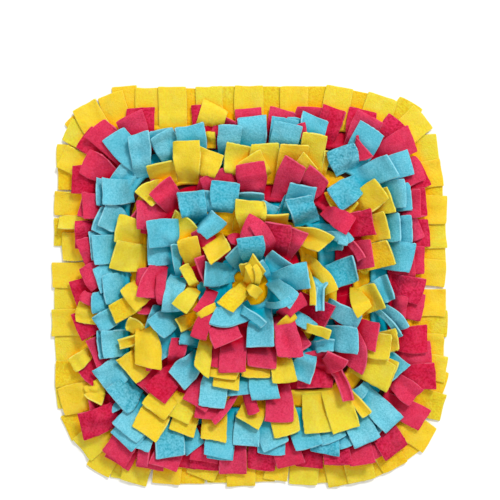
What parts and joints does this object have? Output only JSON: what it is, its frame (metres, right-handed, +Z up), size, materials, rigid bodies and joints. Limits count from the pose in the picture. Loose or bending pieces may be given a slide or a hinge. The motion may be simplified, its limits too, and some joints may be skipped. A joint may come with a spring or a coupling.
{
  "type": "snuffle mat",
  "caption": "Square fleece snuffle mat with round corners, rows of cut flaps in concentric rings of yellow, pink and blue on a plain base cloth.",
  "frame": {"origin": "centre of the mat's underside, on the surface it lies on", "axes": "+Z up out of the flaps, +Y towards the side that is uppermost in the picture, +X to the right"},
  "size_m": [0.3987, 0.4039, 0.0448],
  "materials": {
    "yellow": "yellow polar fleece with a short nap, matt",
    "pink": "pink polar fleece with a short nap, matt",
    "blue": "blue polar fleece with a short nap, matt",
    "natural": "plain woven cloth, matt"
  },
  "bodies": {
    "root": {"base_cloth": "natural", "fringe_1_yellow": "yellow", "fringe_2_pink": "pink", "fringe_3_blue": "blue", "fringe_4_yellow": "yellow", "fringe_5_pink": "pink", "fringe_6_blue": "blue", "fringe_7_yellow": "yellow", "fringe_8_pink": "pink", "fringe_9_blue": "blue", "fringe_10_yellow": "yellow"}
  },
  "joints": []
}
